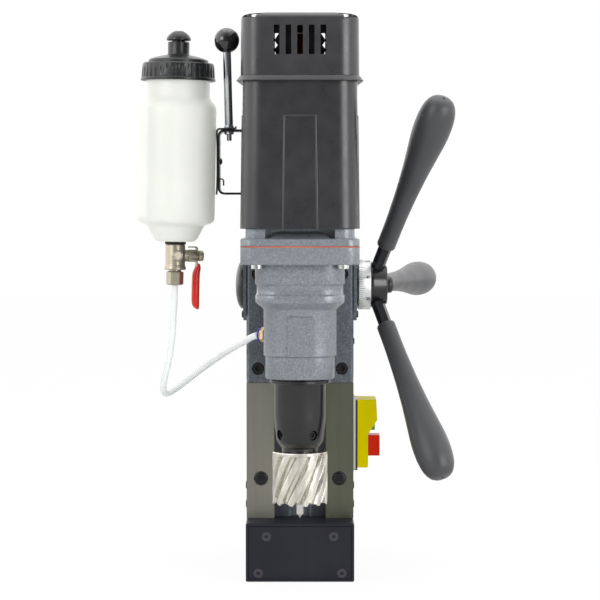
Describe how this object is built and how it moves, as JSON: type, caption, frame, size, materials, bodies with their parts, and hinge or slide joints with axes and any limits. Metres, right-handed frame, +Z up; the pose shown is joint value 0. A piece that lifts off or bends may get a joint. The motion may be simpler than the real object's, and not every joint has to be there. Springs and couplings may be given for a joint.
{
  "type": "magnetic core drill",
  "caption": "Electromagnet-based core drill: a stand with dovetail rails, a motor and gearbox carriage on a rack feed with three handles, an annular cutter and a coolant bottle.",
  "frame": {"origin": "centre of the magnet's flat bottom face, which clamps to the work", "axes": "+Z up along the feed, the cutter and handles' front towards -Y, the capstan and switch towards +X"},
  "size_m": [0.2889, 0.3491, 0.517],
  "materials": {
    "magnet_black": "satin",
    "coil_copper": "matte",
    "stand_grey": "satin",
    "gearbox_grey": "satin",
    "gasket_red": "matte",
    "rail_steel": "satin",
    "slide_iron": "satin",
    "gear_steel": "satin",
    "black_plastic": "matte",
    "dial_metal": "satin",
    "black_steel": "satin",
    "grip_grey": "matte",
    "motor_plastic": "matte",
    "cutter_steel": "polished",
    "chrome_rod": "polished",
    "nickel_brass": "satin",
    "bottle_plastic": "satin",
    "tube_plastic": "satin",
    "red_vinyl": "gloss",
    "yellow_plastic": "gloss",
    "red_plastic": "gloss",
    "green_plastic": "gloss",
    "blue_plastic": "gloss"
  },
  "bodies": {
    "stand": {"magnet_body": "magnet_black", "magnet_coil": "coil_copper", "magnet_front_plate": "magnet_black", "stand_housing": "stand_grey", "magnet_power_module": "black_plastic", "stand_rear_cover": "stand_grey", "carry_handle": "black_plastic", "cable_gland": "black_plastic", "guide_rail_left": "rail_steel", "guide_rail_right": "rail_steel", "bearing_flange_left": "stand_grey", "bearing_flange_right": "stand_grey", "shaft_end_cap": "black_plastic", "dial_index_ring": "black_plastic", "switch_base": "black_plastic", "switch_cover": "yellow_plastic"},
    "capstan": {"pinion_shaft": "gear_steel", "depth_dial": "dial_metal", "capstan_hub": "black_steel", "hub_cap_nut": "black_plastic", "handle_rod_1": "black_steel", "handle_rod_2": "black_steel", "handle_rod_3": "black_steel", "handle_grip_1": "grip_grey", "handle_grip_2": "grip_grey", "handle_grip_3": "grip_grey"},
    "carriage": {"slide_block": "slide_iron", "feed_rack": "gear_steel", "gearbox_housing": "gearbox_grey", "gearbox_gasket": "gasket_red", "gearbox_cover": "gearbox_grey", "motor_housing": "motor_plastic", "motor_flange_ring": "motor_plastic", "motor_cap": "motor_plastic", "field_stator": "gear_steel", "brush_holder_left": "black_plastic", "brush_holder_right": "black_plastic", "bottle_bracket": "black_steel", "ball_rod": "chrome_rod", "rod_ball": "black_plastic", "coolant_tube": "tube_plastic", "tube_fitting": "nickel_brass", "fitting_collet": "blue_plastic", "coolant_bottle": "bottle_plastic", "tap_body": "nickel_brass", "compression_nut": "nickel_brass"},
    "spindle_set": {"spindle": "gear_steel", "arbor": "black_steel", "set_screw_1": "black_steel", "set_screw_2": "black_steel", "cutter": "cutter_steel"},
    "pilot": {"pilot_pin": "cutter_steel"},
    "layshaft_set": {"layshaft": "gear_steel"},
    "rotor": {"armature": "gear_steel", "cooling_fan": "black_plastic"},
    "valve_lever": {"tap_lever": "red_vinyl"},
    "filler_cap": {"bottle_cap": "black_plastic"},
    "cap_spout": {"bottle_spout": "black_plastic"},
    "stop_key": {"stop_button": "red_plastic"},
    "start_key": {"start_button": "green_plastic"}
  },
  "joints": [
    {"name": "feed_slide", "type": "slide", "parent": "stand", "child": "carriage", "axis": [0, 0, 1], "range_m": [-0.13, 0.03]},
    {"name": "capstan_turn", "type": "hinge", "parent": "stand", "child": "capstan", "pos_m": [0, -0.04, 0.272], "axis": [1, 0, 0], "range_deg": [-160, 675]},
    {"name": "motor_spin", "type": "hinge", "parent": "carriage", "child": "rotor", "pos_m": [0, -0.135, 0.4], "axis": [0, 0, 1], "continuous": true},
    {"name": "layshaft_spin", "type": "hinge", "parent": "carriage", "child": "layshaft_set", "pos_m": [0, -0.10875, 0.29], "axis": [0, 0, 1], "continuous": true},
    {"name": "spindle_spin", "type": "hinge", "parent": "carriage", "child": "spindle_set", "pos_m": [0, -0.135, 0.19], "axis": [0, 0, 1], "continuous": true},
    {"name": "pilot_slide", "type": "slide", "parent": "spindle_set", "child": "pilot", "axis": [0, 0, 1], "range_m": [0, 0.048], "stiffness_N_per_m": 100, "springref_m": -0.02},
    {"name": "tap_turn", "type": "hinge", "parent": "carriage", "child": "valve_lever", "pos_m": [-0.11426, -0.1, 0.3009], "axis": [0.9509, 0.309, -0.0183], "range_deg": [-90, 0]},
    {"name": "cap_lift", "type": "slide", "parent": "carriage", "child": "filler_cap", "axis": [0.0192, 0, 0.9998], "range_m": [0, 0.06]},
    {"name": "spout_pull", "type": "slide", "parent": "filler_cap", "child": "cap_spout", "axis": [0.0192, 0, 0.9998], "range_m": [0, 0.006]},
    {"name": "stop_press", "type": "slide", "parent": "stand", "child": "stop_key", "axis": [-1, 0, 0], "range_m": [0, 0.004], "stiffness_N_per_m": 400},
    {"name": "start_press", "type": "slide", "parent": "stand", "child": "start_key", "axis": [-1, 0, 0], "range_m": [0, 0.004], "stiffness_N_per_m": 400}
  ],
  "couplings": [
    {"joint": "capstan_turn", "follows": "feed_slide", "rad_per_m": -89.76},
    {"joint": "layshaft_spin", "follows": "motor_spin", "ratio": -0.23529},
    {"joint": "spindle_spin", "follows": "motor_spin", "ratio": 0.073529}
  ]
}
